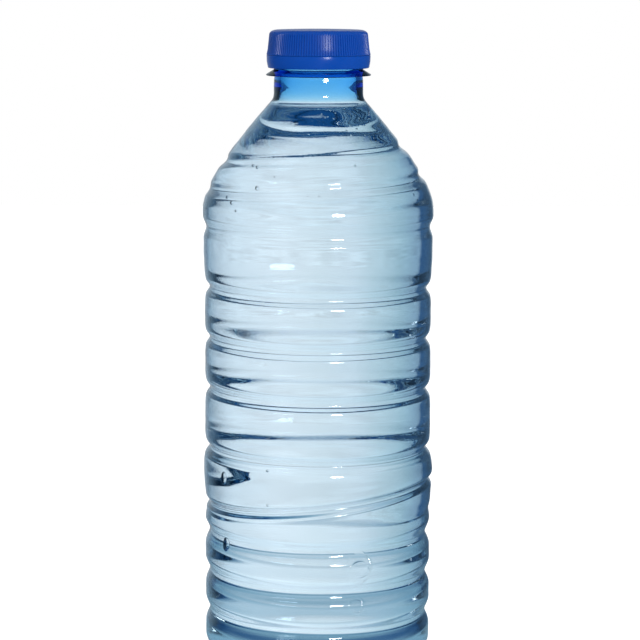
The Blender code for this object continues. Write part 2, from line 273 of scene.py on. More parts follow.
class ThreadSettings(bpy.types.PropertyGroup):
    pitch: length("Pitch", 0.0027, "Rise of the thread in a turn")
    rise: length("Rise", 0.0007, "Height of the thread's ridge")
    half_width: length("Half width", 0.00075, "Half width of the thread's ridge at its foot")
    bottom: length("Bottom", LIP_HEIGHT - 0.0044, "Where the neck's ridge starts")
    turns: number("Turns", 1.2, "Turns of the neck's ridge")
    cap_turns: number("Cap turns", 0.9, "Turns of the cap's ridge")


class WaterSettings(bpy.types.PropertyGroup):
    level: length("Level", WATER_LEVEL + 0.0003, "Height of the water's surface")
    gap: length("Gap", 0.00005, "Clearance between the water and the shell")
    meniscus: length("Meniscus", 0.0006, "Rise of the water at the wall")
    ior: number("Refraction", 1.333, "Index of water")


class CapSettings(bpy.types.PropertyGroup):
    ribs: whole("Ribs", 120, "Upright ribs round the skirt")
    rib_depth: length("Rib depth", 0.00028)
    dome_radius: length("Dome radius", 0.01175, "Slightly domed part of the top")
    dome_drop: length("Dome drop", 0.0002, "Fall of that part from its middle")
    top_radius: length("Top radius", 0.0140, "Outside of the skirt at its top")
    edge: length("Edge", 0.0014, "Height of the rounded top edge")
    waist_radius: length("Waist radius", 0.0144, "Outside of the skirt where its hem starts to flare")
    flare_height: length("Flare height", 0.0018, "Height of that place above the cap's lower edge")
    flare: length("Flare", 0.00035, "How much wider the hem is at the lower edge")
    bore_radius: length("Bore radius", 0.0131, "Inside of the skirt")
    hem: length("Hem", 0.0003, "Smooth rim under the ribs")
    band_taper: length("Band taper", 0.00035, "How much narrower the band is at its bottom")
    band_hook: length("Band hook", 0.0009, "Height of the hook inside the band")
    blue: colour("Cap blue", (0.0015, 0.070, 0.44), "Colour of the cap and its band")
    foam: colour("Liner", (0.80, 0.82, 0.83), "Colour of the sealing disc")


class StageSettings(bpy.types.PropertyGroup):
    distance: length("Camera distance", 0.6586, "From the bottle's axis to the camera")
    height: length("Camera height", 0.2152, "Height of the camera")
    aside: length("Camera aside", 0.00035, "Camera to the right of the axis")
    pitch: angle("Camera pitch", 8.5, "How far the camera looks down")
    roll: angle("Camera roll", -0.14, "How far the camera is tipped to one side")
    lens: number("Lens", 130.0, "Focal length in millimetres")
    key_turn: angle("Key light", 19.5, "Key light to the right of the camera")
    key_distance: length("Key distance", 1.1, "From the bottle's axis to the key light")
    key_width: length("Key width", 0.27)
    key_height: length("Key height", 0.18)
    key_middle: length("Key middle", 0.35, "Height of the key light's middle")
    key_power: number("Key power", 3.6)
    echo_power: number("Echo power", 0.55, "Watts that the back wall mirrors")
    ambient: number("Ambient", 0.6, "Plain light from all round")
    backdrop_glow: number("Backdrop glow", 1.2, "Light that clear plastic shows")
    backdrop_top: angle("Backdrop top", 26.0, "How high the lit backdrop reaches")
    backdrop_fade: angle("Backdrop fade", 14.0, "Height over which it turns dark above that")
    # The dark room above the backdrop, and the painted shadow under the bottle that clear plastic shows on
    # the floor.
    dark: colour("Dark", (0.010, 0.070, 0.20), "What lies above the backdrop and under the bottle")
    floor_glow: number("Floor glow", 0.75, "Light the floor adds for the camera")
    # Painted shadow on the floor, shown only through the bottle: dark out to the first reach, a greyish
    # painted shade out to the second, fully bright from the third.
    painted_shadow_reach: length("Dark floor", 0.044, "The floor is dark out to here, seen through the bottle")
    painted_shade_colour: colour("Dusk", (0.24, 0.38, 0.47), "The floor's colour round that dark place")
    painted_fringe_reach: length("Grey floor", 0.068, "The floor has that colour here")
    floor_bright: length("Bright floor", 0.200, "The floor is fully bright from here on")
    unevenness: number("Unevenness", 0.16, "How cloudy the lit floor is")
    floor_size: length("Floor size", 1.5, "Half the side of the floor")
    paper: colour("Paper", (0.82, 0.82, 0.82), "Colour of the floor")


def hump(distance, reach):
    """1 in the middle, falling smoothly to 0 at the reach."""
    inside = np.clip(np.abs(distance) / reach, 0.0, 1.0)
    return np.cos(inside * math.pi / 2) ** 2


def glide(value, low, high):
    """0 up to low, 1 from high, and a smooth step between them."""
    share = np.clip((value - low) / (high - low), 0.0, 1.0)
    return share * share * (3 - 2 * share)


def run_out(turn, turns, share):
    """1 along a winding groove or ridge, falling to 0 at both of its ends."""
    return np.clip(turn / share, 0.0, 1.0) * np.clip((turns - turn) / share, 0.0, 1.0)


def ring_rows(s):
    """Height, half width, depth and lean of each pressed ring, from the top."""
    rows = []
    for step in range(3):
        rows.append((s.upper_top - s.upper_pitch * step, s.upper_half, s.upper_depth, s.upper_lean))
    rows.append((s.slipped, s.upper_half, s.slipped_depth, s.upper_lean))
    rows.append((s.buckled, s.buckled_half, s.buckled_depth, s.buckled_lean))
    for step in range(4):
        rows.append((s.lower_top - s.lower_pitch * step, s.lower_half, s.lower_depth, s.lower_lean))
    return rows


def shoulder_line(s, steps):
    """The smooth shoulder, a cubic curve from the neck to the widest bead."""
    top = np.array([s.shoulder_radius, s.neck_end - s.shoulder_drop])
    slope = np.array([math.sin(s.shoulder_slope), -math.cos(s.shoulder_slope)])
    end = np.array([BEAD_RADIUS, s.bead_top])
    knots = (top, top + slope * s.shoulder_top_reach, end + np.array([0.0, s.shoulder_end_reach]), end)
    line = []
    for step in range(steps + 1):
        t = step / steps
        weights = ((1 - t) ** 3, 3 * t * (1 - t) ** 2, 3 * t**2 * (1 - t), t**3)
        line.append(tuple(float(part) for part in sum(w * k for w, k in zip(weights, knots))))
    return line


def body_outside(s, height):
    """Radius of the shell under the widest bead, with its rings pressed in."""
    radius = s.body_radius + s.panel_extra * glide(height, s.upper_top + s.upper_half, PANEL_FOOT)
    radius += (BEAD_RADIUS - s.body_radius - s.panel_extra) * glide(height, PANEL_HEAD, s.bead_top)
    radius += s.lower_extra * glide(-height, -LOWER_START, -LOWER_FULL)
    radius -= s.collar_depth * hump(height - s.collar_height, s.collar_half)
    for ring, half, depth, _ in ring_rows(s):
        core = UPPER_CORE if half == s.upper_half else 1.0
        radius -= depth * (core * hump(height - ring, half) + (1 - core) * hump(height - ring, s.flank))
    return float(radius)


def rounded(points, passes=2):
    """Cuts the corners of a line, its ends kept."""
    for _ in range(passes):
        cut = [points[0]]
        for (r1, z1), (r2, z2) in zip(points, points[1:]):
            cut.append((0.75 * r1 + 0.25 * r2, 0.75 * z1 + 0.25 * z2))
            cut.append((0.25 * r1 + 0.75 * r2, 0.25 * z1 + 0.75 * z2))
        points = cut + [points[-1]]
    return points


def shell_line(s):
    """The outside of the shell from under the support ring to the middle of the base."""
    drop = s.shoulder_drop
    quarter = s.neck_radius + 0.25 * (s.shoulder_radius - s.neck_radius)
    tube = s.ring_underside - s.neck_end - 0.8 * drop
    neck = []
    for step in range(10):
        narrow = s.neck_draft * (1 - step / 10) ** 3
        neck.append((s.neck_radius - narrow, s.ring_underside - tube * step / 10))
    shoulder = shoulder_line(s, 80)
    bend = [
        (s.neck_radius, s.neck_end + 0.7 * drop),
        (s.neck_radius, s.neck_end),
        (quarter, s.neck_end - 0.5 * drop),
        shoulder[0],
    ]
    line = neck + rounded(bend) + shoulder[1:]
    height = s.bead_top
    while True:
        steep = sum(hump(height - ring, half * 1.15) for ring, half, _, _ in ring_rows(s))
        height -= FINE_STEP if steep > 0.02 or height > s.collar_height - s.collar_half else COARSE_STEP
        if height < s.heel_height:
            break
        line.append((body_outside(s, height), height))
    for step in range(17):
        turn = math.radians(90) * step / 16
        radius = s.stand_outer + (s.body_radius - s.stand_outer) * math.cos(turn)
        line.append((radius, s.heel_height * (1 - math.sin(turn))))
    middle = 0.5 * (s.stand_inner + s.push_radius)
    base = [
        (s.stand_inner, 0.0),
        (middle, 0.6 * s.push_rise),
        (s.push_radius, s.push_rise),
        (0.5 * s.push_radius, s.push_centre),
        (0.0, s.push_centre),
    ]
    flat_end = (s.stand_inner + SMALL_EDGE, 0.0)
    line += [flat_end] + rounded(base, 3)[1:]
    return line


def wall_at(s, radius, height):
    """Thick at the neck, thin in the body, a little thicker under the base."""
    thick = s.neck_radius - s.bore_radius
    foot = s.foot_wall * glide(height, s.neck_end - FOOT_LOW, s.neck_end - FOOT_HIGH)
    share = min(max((height - s.thin_start) / (s.thick_end - s.thin_start), 0.0), 1.0)
    blend = 0.5 * share + 0.5 * glide(share, 0.0, 1.0)
    under = glide(s.heel_height - height, 0.0, s.heel_height) * glide(s.body_radius - radius, 0.0, 0.006)
    return s.wall + foot + (thick - s.wall - foot) * blend + (s.base_wall - s.wall) * under


def inset(s, line, extra):
    """The line moved inwards by the wall and an extra clearance."""
    points = np.array(line)
    steps = np.diff(points, axis=0)
    steps /= np.linalg.norm(steps, axis=1)[:, None]
    before = np.vstack([steps[:1], steps])
    after = np.vstack([steps, steps[-1:]])
    moved = []
    for point, one, two in zip(points, before, after):
        first = np.array([one[1], -one[0]])
        middle = first + np.array([two[1], -two[0]])
        level = glide(point[1], s.neck_end - LEVEL_LOW, s.neck_end - LEVEL_HIGH)
        middle = middle * (1 - level) / np.linalg.norm(middle) + np.array([-level, 0.0])
        middle /= np.linalg.norm(middle)
        depth = (wall_at(s, *point) + extra) / max(float(middle @ first), 0.7 + 0.3 * level)
        moved.append(point + middle * depth)
    moved[-1][0] = 0.0
    return [(float(r), float(z)) for r, z in moved]


def show(name, data):
    """Puts a mesh, a lamp or a camera into the scene."""
    made = bpy.data.objects.new(name, data)
    bpy.context.scene.collection.objects.link(made)
    return made


def spun(name, profile, sides, guide=None):
    """A closed body turned from a profile that runs down its outer side."""
    shape = bmesh.new()
    mark = shape.verts.layers.float_vector.new("outside")
    chain = []
    for (radius, height), (far, level) in zip(profile, guide or profile):
        vertex = shape.verts.new((radius, 0.0, height))
        vertex[mark] = (far, 0.0, level)
        chain.append(vertex)
    edges = [shape.edges.new(pair) for pair in zip(chain, chain[1:])]
    bmesh.ops.spin(
        shape, geom=chain + edges, cent=(0, 0, 0), axis=(0, 0, 1), dvec=(0, 0, 0),
        angle=2 * math.pi, steps=sides, use_merge=True, use_normal_flip=False, use_duplicate=False,
    )
    poles = [vertex for vertex in shape.verts if vertex.co.xy.length < 1e-7]
    bmesh.ops.remove_doubles(shape, verts=poles, dist=1e-7)
    bmesh.ops.recalc_face_normals(shape, faces=shape.faces[:])
    mesh = bpy.data.meshes.new(name)
    shape.to_mesh(mesh)
    shape.free()
    mesh.shade_smooth()
    return show(name, mesh)


def vectors_of(items, key):
    """One named vector of each vertex or attribute value, as rows."""
    values = np.empty(len(items) * 3)
    items.foreach_get(key, values)
    return values.reshape(-1, 3)


def widen(mesh, places, scale):
    """Puts the vertices at new places, their distance from the axis scaled."""
    places[:, :2] *= scale[:, None]
    mesh.vertices.foreach_set("co", places.ravel())
    mesh.update()


def press(made, s):
    """Moves the turned walls: spiral groove, leaning rings, bulge, crease, flutes and ripple."""
    mesh = made.data
    places = vectors_of(mesh.vertices, "co")
    outside = vectors_of(mesh.attributes["outside"].data, "vector")
    radius = np.hypot(places[:, 0], places[:, 1])
    turn_at = np.arctan2(places[:, 1], places[:, 0])
    height = outside[:, 2]
    out = np.zeros(len(places))
    up = np.zeros(len(places))
    side = np.cos(turn_at)

    for ring, _, _, lean in ring_rows(s):
        up += lean * side * hump(height - ring, s.lean_reach)
    bulge = hump(height - s.bulge_height, s.bulge_reach)
    out += s.bulge_rise * bulge + s.swing * side * hump(height - s.buckled, s.bulge_reach)
    crease = hump(height - s.crease_height, s.crease_reach)
    out -= s.crease_depth * crease * hump(turn_at - s.crease_angle, s.crease_spread)

    share = (math.pi / 2 - turn_at) % (2 * math.pi) / (2 * math.pi)
    for lap in range(math.ceil(s.spiral_turns) + 1):
        turn = share + lap
        ends = run_out(turn, s.spiral_turns, GROOVE_FADE)
        track = s.spiral_top - s.spiral_pitch * turn
        out -= s.spiral_depth * ends * hump(height - track, s.spiral_half)

    middle = 0.5 * (s.stand_inner + s.push_radius)
    flute = hump(outside[:, 0] - middle, 0.5 * (s.stand_inner - s.push_radius))
    up += (height < s.push_centre) * s.flute_depth * flute * np.cos(s.flutes * turn_at)

    body = glide(height, s.heel_height, s.heel_height + 0.004) * glide(s.neck_end - height, 0.001, 0.006)
    waves = np.zeros(len(places))
    for around, crests, phase, share in WAVES:
        waves += share * np.sin(around * turn_at + crests * height * 2 * math.pi + phase)
    out += s.ripple * body * waves * (1 + UNEVEN_MORE * glide(height, UNEVEN_FOOT, UNEVEN_HEAD))

    scale = np.where(radius > s.wall, (radius + out) / np.maximum(radius, s.wall), 1.0)
    places[:, 2] += up
    widen(mesh, places, scale)


def cut_thread(made, thread, turns, low, high, sense, offset):
    """Raises a right-handed ridge on the upright wall between two heights and two radii."""
    mesh = made.data
    places = vectors_of(mesh.vertices, "co")
    radius = np.hypot(places[:, 0], places[:, 1])
    around = np.arctan2(places[:, 1], places[:, 0]) % (2 * math.pi) / (2 * math.pi)
    wall = (radius > low) & (radius < high)
    out = np.zeros(len(places))
    for lap in range(math.ceil(turns) + 1):
        turn = around + lap
        ends = run_out(turn, turns, THREAD_FADE)
        track = thread.bottom + offset + thread.pitch * turn
        ridge = np.clip(1.6 * (1 - np.abs(places[:, 2] - track) / thread.half_width), 0.0, 1.0)
        out = np.maximum(out, thread.rise * ends * ridge)
    scale = np.where(wall, (radius + sense * out) / np.maximum(radius, low), 1.0)
    widen(mesh, places, scale)


def feed(tree, socket, value):
    """Links a value that is a socket, and sets one that is a number or a colour."""
    if isinstance(value, bpy.types.NodeSocket):
        tree.links.new(value, socket)
    elif socket.type == "RGBA":
        socket.default_value = (*value[:3], 1.0)
    else:
        socket.default_value = value


def fill(tree, node, **inputs):
    """Sets or links the named inputs of a node."""
    for name, value in inputs.items():
        feed(tree, node.inputs[name.replace("_", " ")], value)
    return node


def put(tree, kind, **inputs):
    """A new node with its named inputs set or linked."""
    return fill(tree, tree.nodes.new(kind), **inputs)


def maths(tree, operation, first, second):
    """The result of an operation on two sockets or numbers."""
    node = tree.nodes.new("ShaderNodeMath")
    node.operation = operation
    feed(tree, node.inputs[0], first)
    feed(tree, node.inputs[1], second)
    return node.outputs[0]


def how_far(tree, place, middle=(0.0, 0.0, 0.0)):
    """Distance of a place from a fixed point."""
    node = tree.nodes.new("ShaderNodeVectorMath")
    node.operation = "DISTANCE"
    tree.links.new(place, node.inputs[0])
    node.inputs[1].default_value = middle
    return node.outputs["Value"]


def material(name):
    """A new material, its node tree and its shader."""
    made = bpy.data.materials.new(name)
    made.use_nodes = True
    return made, made.node_tree, made.node_tree.nodes["Principled BSDF"]


def node_group(name, taken, given):
    """A node group with the sockets that it takes and gives, and its two end nodes."""
    group = bpy.data.node_groups.new(name, "ShaderNodeTree")
    for way, sockets in (("INPUT", taken), ("OUTPUT", given)):
        for label, kind in sockets.items():
            group.interface.new_socket(label, in_out=way, socket_type="NodeSocket" + kind)
    return group, group.nodes.new("NodeGroupInput"), group.nodes.new("NodeGroupOutput")


def speckle_group():
    """Shared fine unevenness of moulded plastic: a height and a mask."""
    taken, given = {"Vector": "Vector", "Size": "Float"}, {"Height": "Float", "Mask": "Float"}
    group, start, end = node_group("moulded_grain", taken, given)
    fine = put(group, "ShaderNodeTexNoise", Vector=start.outputs[0], Scale=start.outputs[1], Detail=3.0)
    broad_size = maths(group, "MULTIPLY", start.outputs[1], 0.12)
    broad = put(group, "ShaderNodeTexNoise", Vector=start.outputs[0], Scale=broad_size, Detail=2.0)
    group.links.new(fine.outputs[0], end.inputs[0])
    group.links.new(broad.outputs[0], end.inputs[1])
    return group


def grain(tree, size):
    """Places the shared grain on Object coordinates and returns its height and mask."""
    node = tree.nodes.new("ShaderNodeGroup")
    node.node_tree = bpy.data.node_groups.get("moulded_grain") or speckle_group()
    fill(tree, node, Vector=tree.nodes.new("ShaderNodeTexCoord").outputs["Object"], Size=size)
    return node.outputs["Height"], node.outputs["Mask"]


def between(tree, mask, low, high):
    """A value that runs from low to high with the mask."""
    marks = {"From_Min": 0.3, "From_Max": 0.7, "To_Min": low, "To_Max": high}
    return put(tree, "ShaderNodeMapRange", Value=mask, **marks).outputs[0]


def bottle_plastic(s):
    """Clear blown plastic whose blue shows where it is thick or seen edge on."""
    made, tree, shader = material("bottle_plastic")
    height, mask = grain(tree, 220.0)
    place = tree.nodes.new("ShaderNodeTexCoord").outputs["Object"]
    split = put(tree, "ShaderNodeSeparateXYZ", Vector=place)
    level = maths(tree, "SUBTRACT", split.outputs[2], s.ring_underside + 0.5 * (s.ring_edge + s.ring_rise))
    level = maths(tree, "ABSOLUTE", level, 0.0)
    flat = put(tree, "ShaderNodeCombineXYZ", X=split.outputs[0], Y=split.outputs[1])
    near_ring = fade(tree, level, TINT_END, TINT_FULL)
    off_neck = fade(tree, how_far(tree, flat.outputs[0]), s.neck_radius, s.neck_radius + TINT_SOFT)
    blue = tone(tree, maths(tree, "MULTIPLY", near_ring, off_neck), WHITE, s.ring_tint)
    rough = between(tree, mask, 0.0, 0.02)
    fill(tree, shader, Base_Color=blue, Transmission_Weight=1.0, IOR=s.ior, Roughness=rough)
    dimple = put(tree, "ShaderNodeBump", Strength=0.05, Distance=0.0004, Height=height)
    ridge = None
    for degrees, up, size in OUTLINES:
        turn = math.radians(degrees)
        middle = (s.body_radius * math.sin(turn), -s.body_radius * math.cos(turn), up)
        offset = maths(tree, "SUBTRACT", how_far(tree, place, middle), size)
        line = fade(tree, maths(tree, "ABSOLUTE", offset, 0.0), OUTLINE_HALF, 0.0)
        ridge = maths(tree, "MAXIMUM", ridge, line) if ridge else line
    moulded = put(tree, "ShaderNodeBump", Strength=0.6, Distance=0.0002, Height=ridge)
    fill(tree, moulded, Normal=dimple.outputs[0])
    fill(tree, shader, Normal=moulded.outputs[0])
    tint = put(tree, "ShaderNodeVolumeAbsorption", Color=s.absorbed, Density=s.density)
    tree.links.new(tint.outputs[0], tree.nodes["Material Output"].inputs["Volume"])
    return made


def clear_water(w):
    """Clear water, its surface hardly uneven."""
    made, tree, shader = material("water")
    height, _ = grain(tree, 60.0)
    dimple = put(tree, "ShaderNodeBump", Strength=0.02, Distance=0.0004, Height=height)
    fill(tree, shader, Base_Color=(0.985, 0.995, 1.0), Roughness=0.0, Normal=dimple.outputs[0])
    fill(tree, shader, Transmission_Weight=1.0, IOR=w.ior)
    return made


def cap_plastic(name, blue, low, high):
    """Opaque moulded plastic with a satin gloss."""
    made, tree, shader = material(name)
    height, mask = grain(tree, 1500.0)
    pale = tuple(min(1.0, part * 1.12 + 0.002) for part in blue)
    dimple = put(tree, "ShaderNodeBump", Strength=0.08, Distance=0.0002, Height=height)
    fill(tree, shader, Base_Color=tone(tree, mask, blue, pale), Normal=dimple.outputs[0])
    fill(tree, shader, Roughness=between(tree, mask, low, high), Specular_IOR_Level=0.4)
    return made


def dress(made, node, body, finish):
    """Gives a piece its material and ties it to the frame."""
    made.data.materials.append(finish)
    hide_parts(node)
    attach(made, body)


class BOTTLE_OT_shell(bpy.types.Operator):
    """Make the blown shell with its neck, thread, rings and base"""

    bl_idname = "bottle.make_shell"
    bl_label = "Shell"

    def execute(self, context):
        s = context.scene.bottle_shell
        thread = context.scene.bottle_thread
        top = LIP_HEIGHT - LIP_EDGE
        finish = [
            (s.finish_radius - LIP_EDGE, LIP_HEIGHT),
            (s.finish_radius - 0.3 * LIP_EDGE, LIP_HEIGHT - 0.3 * LIP_EDGE),
            (s.finish_radius, top),
        ]
        rows = 52
        for step in range(1, rows):
            finish.append((s.finish_radius, top - (top - s.lock_top) * step / rows))
        lock = [
            (s.finish_radius, s.lock_top),
            (s.lock_radius, s.lock_top - LOCK_SLOPE),
            (s.lock_radius, s.lock_top - LOCK_SLOPE - LOCK_WIDTH),
            (s.neck_radius, s.lock_top - LOCK_SLOPE - LOCK_WIDTH - TINY_EDGE),
        ]
        cone_top = s.ring_underside + s.ring_edge + s.ring_rise
        ring = [
            (s.neck_radius, cone_top + 0.0005),
            (s.neck_radius, cone_top),
            (s.ring_radius - TINY_EDGE, s.ring_underside + s.ring_edge),
            (s.ring_radius, s.ring_underside + 0.7 * s.ring_edge),
            (s.ring_radius, s.ring_underside + 0.3 * s.ring_edge),
            (s.ring_radius - TINY_EDGE, s.ring_underside),
        ]
        line = shell_line(s)
        inner = inset(s, line, 0.0)[:0:-1]
        bore = [
            (s.bore_radius, s.ring_underside),
            (s.bore_radius, LIP_HEIGHT - 2 * LIP_EDGE),
            (s.bore_radius + 0.3 * LIP_EDGE, LIP_HEIGHT - 0.3 * LIP_EDGE),
            (s.bore_radius + LIP_EDGE, LIP_HEIGHT),
        ]
        outside = finish + rounded(lock, 1) + ring + line
        made = spun("bottle_shell", inner + bore + outside, s.sides, line[:0:-1] + bore + outside)
        press(made, s)
        above_lock = 0.5 * (s.bore_radius + s.finish_radius)
        cut_thread(made, thread, thread.turns, above_lock, s.finish_radius + NEAR, 1.0, 0.0)
        dress(made, "bottle", "bottle", bottle_plastic(s))
        return {"FINISHED"}


def add_bubbles(made):
    """Small hollows in the water, just inside its wall."""
    shape = bmesh.new()
    chance = np.random.default_rng(5)
    fizz = []
    for n in range(10):
        degrees = 2 + 4.5 * n + chance.uniform(-2, 2)
        fizz.append((degrees, 0.1762 + chance.uniform(-8e-4, 8e-4), 3e-4, 1.0))
    for n in range(10):
        fizz.append((24 + 2.6 * n, 0.172 + chance.uniform(-2e-3, 2e-3), 3.5e-4, 0.8))
    for n in range(6):
        fizz.append((-38 + 2.2 * n, 0.1765 + chance.uniform(-6e-4, 6e-4), 2e-4, 1.0))
    for degrees, height, size, flat in (*BUBBLES, *fizz):
        turn = math.radians(degrees)
        toward = Vector((math.sin(turn), -math.cos(turn), 0.0))
        start = toward * 0.05 + Vector((0.0, 0.0, height))
        hit = made.ray_cast(start, -toward)[1]
        ball = bmesh.ops.create_uvsphere(shape, u_segments=20, v_segments=12, radius=size)["verts"]
        bmesh.ops.scale(shape, vec=(1.0, BUBBLE_FLAT, flat), verts=ball)
        bmesh.ops.rotate(shape, cent=(0, 0, 0), matrix=Matrix.Rotation(turn, 3, "Z"), verts=ball)
        bmesh.ops.translate(shape, vec=hit - toward * (BUBBLE_FLAT * size + BUBBLE_DEPTH), verts=ball)
    bmesh.ops.reverse_faces(shape, faces=shape.faces[:])
    hollows = bpy.data.meshes.new("hollows")
    shape.to_mesh(hollows)
    shape.clear()
    shape.from_mesh(made.data)
    shape.from_mesh(hollows)
    bpy.data.meshes.remove(hollows)
    shape.to_mesh(made.data)
    shape.free()
    made.data.shade_smooth()


class BOTTLE_OT_water(bpy.types.Operator):
    """Make the water and its air bubbles"""

    bl_idname = "bottle.make_water"
    bl_label = "Water"

    def execute(self, context):
        s = context.scene.bottle_shell
        w = context.scene.bottle_water
        line = shell_line(s)
        wetted = inset(s, line, w.gap)
        first = next(index for index, point in enumerate(wetted) if point[1] < w.level + w.meniscus)
        edge = wetted[first][0]
        surface = [(0.0, w.level)]
        for step in range(1, 12):
            inward = EDGE_REACH * (1 - step / 12)
            rise = w.meniscus * math.exp(-inward / EDGE_CURVE)
            surface.append((edge - inward, w.level + rise))
        guide = [(radius, w.level) for radius, _ in surface] + line[first:]
        made = spun("water_body", surface + wetted[first:], s.sides, guide)
        press(made, s)
        add_bubbles(made)
        dress(made, "water", "bottle", clear_water(w))
        return {"FINISHED"}


class BOTTLE_OT_cap(bpy.types.Operator):
    """Make the screw cap with its ribs and inner thread"""

    bl_idname = "bottle.make_cap"
    bl_label = "Cap"

    def execute(self, context):
        c = context.scene.bottle_cap
        thread = context.scene.bottle_thread
        grip_top = CAP_TOP - c.dome_drop - c.edge
        waist = CAP_BOTTOM + c.flare_height
        skirt = c.waist_radius + c.flare
        ceiling = LINER_TOP + GAP
        outer = []
        for step in range(6):
            share = step / 6
            outer.append((c.dome_radius * share, CAP_TOP - c.dome_drop * share**2))
        for step in range(11):
            turn = math.radians(90) * step / 10
            radius = c.dome_radius + (c.top_radius - c.dome_radius) * math.sin(turn)
            outer.append((radius, CAP_TOP - c.dome_drop - c.edge * (1 - math.cos(turn))))
        for step in range(1, 11):
            share = step / 10
            radius = c.top_radius + (c.waist_radius - c.top_radius) * share
            outer.append((radius, grip_top + (waist - grip_top) * share))
        for step in range(1, 9):
            share = step / 8
            height = waist - (c.flare_height - TINY_EDGE) * share
            outer.append((c.waist_radius + c.flare * share**1.2, height))
        outer.append((skirt - 0.8 * TINY_EDGE, CAP_BOTTOM))
        inner = [(c.bore_radius + TINY_EDGE, CAP_BOTTOM)]
        rows = 48
        bore_bottom, bore_top = CAP_BOTTOM + TINY_EDGE, ceiling - 4 * TINY_EDGE
        for step in range(rows + 1):
            inner.append((c.bore_radius, bore_bottom + (bore_top - bore_bottom) * step / rows))
        inner += [
            (c.bore_radius - TINY_EDGE, ceiling - TINY_EDGE),
            (c.bore_radius - 4 * TINY_EDGE, ceiling),
            (0.0, ceiling),
        ]
        made = spun("cap_shell", outer + inner, 5 * c.ribs)

        mesh = made.data
        places = vectors_of(mesh.vertices, "co")
        radius = np.hypot(places[:, 0], places[:, 1])
        around = np.arctan2(places[:, 1], places[:, 0])
        valley = glide(0.5 - 0.5 * np.cos(around * c.ribs), 0.4, 0.85)
        rise = glide(CAP_TOP - places[:, 2], 0.3 * c.edge, c.edge + c.dome_drop)
        fall = glide(places[:, 2], CAP_BOTTOM + TINY_EDGE, CAP_BOTTOM + c.hem)
        grip = rise * fall * (radius > 0.5 * (c.bore_radius + c.top_radius))
        scale = (radius - c.rib_depth * valley * grip) / np.maximum(radius, 1e-6)
        widen(mesh, places, scale)
        mesh.set_sharp_from_angle(angle=math.radians(30))
        low, high = c.bore_radius - NEAR, c.bore_radius + NEAR
        cut_thread(made, thread, thread.cap_turns, low, high, -1.0, 0.5 * thread.pitch)
        dress(made, "cap", "cap", cap_plastic("cap_plastic", c.blue, 0.26, 0.33))
        return {"FINISHED"}


class BOTTLE_OT_liner(bpy.types.Operator):
    """Make the sealing disc under the cap's top"""

    bl_idname = "bottle.make_liner"
    bl_label = "Liner"

    def execute(self, context):
        c = context.scene.bottle_cap
        edge = 0.00015
        print_outer, print_inner = 0.0120, 0.0108
        profile = [
            (0.0, LINER_TOP),
            (LINER_RADIUS - edge, LINER_TOP),
            (LINER_RADIUS, LINER_TOP - edge),
            (LINER_RADIUS, LINER_BOTTOM + edge),
            (LINER_RADIUS - edge, LINER_BOTTOM),
            (print_outer, LINER_BOTTOM),
            (print_outer - SMALL_EDGE, LINER_BOTTOM + PRINT_DEPTH),
            (print_inner + SMALL_EDGE, LINER_BOTTOM + PRINT_DEPTH),
            (print_inner, LINER_BOTTOM),
            (0.0, LINER_BOTTOM),
        ]
        made = spun("cap_liner_disc", profile, 96)
        dress(made, "cap_liner", "cap_seal", cap_plastic("liner_foam", c.foam, 0.5, 0.62))
        return {"FINISHED"}


class BOTTLE_OT_band(bpy.types.Operator):
    """Make the tamper band with its inner hook"""

    bl_idname = "bottle.make_band"
    bl_label = "Tamper band"

    def execute(self, context):
        c = context.scene.bottle_cap
        s = context.scene.bottle_shell
        hook_top = s.lock_top - LOCK_SLOPE - LOCK_WIDTH - GAP
        bead_side = s.lock_radius + GAP
        neck_side = s.neck_radius + GAP
        narrow = BAND_RADIUS - c.band_taper
        top = CAP_BOTTOM - SEAM
        middle = 0.5 * (top + BAND_BOTTOM)
        profile = [
            (neck_side, hook_top - c.band_hook),
            (neck_side, hook_top),
            (bead_side, hook_top),
            (bead_side, top),
            (BAND_RADIUS - 0.00012, top),
            (BAND_RADIUS - 0.00003, top - 0.00005),
            (BAND_RADIUS, top - 0.0002),
            (BAND_RADIUS - 0.2 * c.band_taper, middle),
            (narrow, BAND_BOTTOM + SMALL_EDGE),
            (narrow - TINY_EDGE, BAND_BOTTOM + 0.8 * TINY_EDGE),
            (narrow - SMALL_EDGE, BAND_BOTTOM),
            (bead_side, BAND_BOTTOM),
            (neck_side, hook_top - c.band_hook),
        ]
        made = spun("tamper_band_ring", profile, 192)
        dress(made, "tamper_band", "bottle", cap_plastic("band_plastic", c.blue, 0.16, 0.22))
        return {"FINISHED"}


def surroundings_group():
    """What lies round the bottle in each direction: seen through it, and mirrored in it."""
    taken, given = {"Direction": "Vector"}, {"Through": "Color", "Mirrored": "Color"}
    group, start, end = node_group("surroundings", taken, given)
    split = put(group, "ShaderNodeSeparateXYZ", Vector=start.outputs[0])
    across = maths(group, "ARCTAN2", split.outputs[0], split.outputs[1])
    turn = put(group, "ShaderNodeMapRange", Value=across, From_Min=-math.pi, From_Max=math.pi)
    for index, stops in enumerate((THROUGH, MIRRORED)):
        ramp = group.nodes.new("ShaderNodeValToRGB")
        group.links.new(turn.outputs[0], ramp.inputs[0])
        marks = ramp.color_ramp.elements
        marks[0].color = (*stops[0][1:], 1.0)
        marks[-1].color = (*stops[-1][1:], 1.0)
        for degrees, *level in stops[1:-1]:
            marks.new((degrees + 180) / 360).color = (*level, 1.0)
        group.links.new(ramp.outputs[0], end.inputs[index])
    return group


def surroundings(tree, direction):
    """The two colours of the shared group for a direction."""
    node = tree.nodes.new("ShaderNodeGroup")
    node.node_tree = bpy.data.node_groups.get("surroundings") or surroundings_group()
    tree.links.new(direction, node.inputs[0])
    return node.outputs["Through"], node.outputs["Mirrored"]


def beyond_plastic(tree, path, through, mirrored):
    """What a ray meets once it has left the bottle, darker if a wall has mirrored or spread it."""
    bounced = maths(tree, "ADD", path.outputs["Glossy Depth"], path.outputs["Diffuse Depth"])
    return tone(tree, maths(tree, "MINIMUM", bounced, 1.0), through, mirrored)


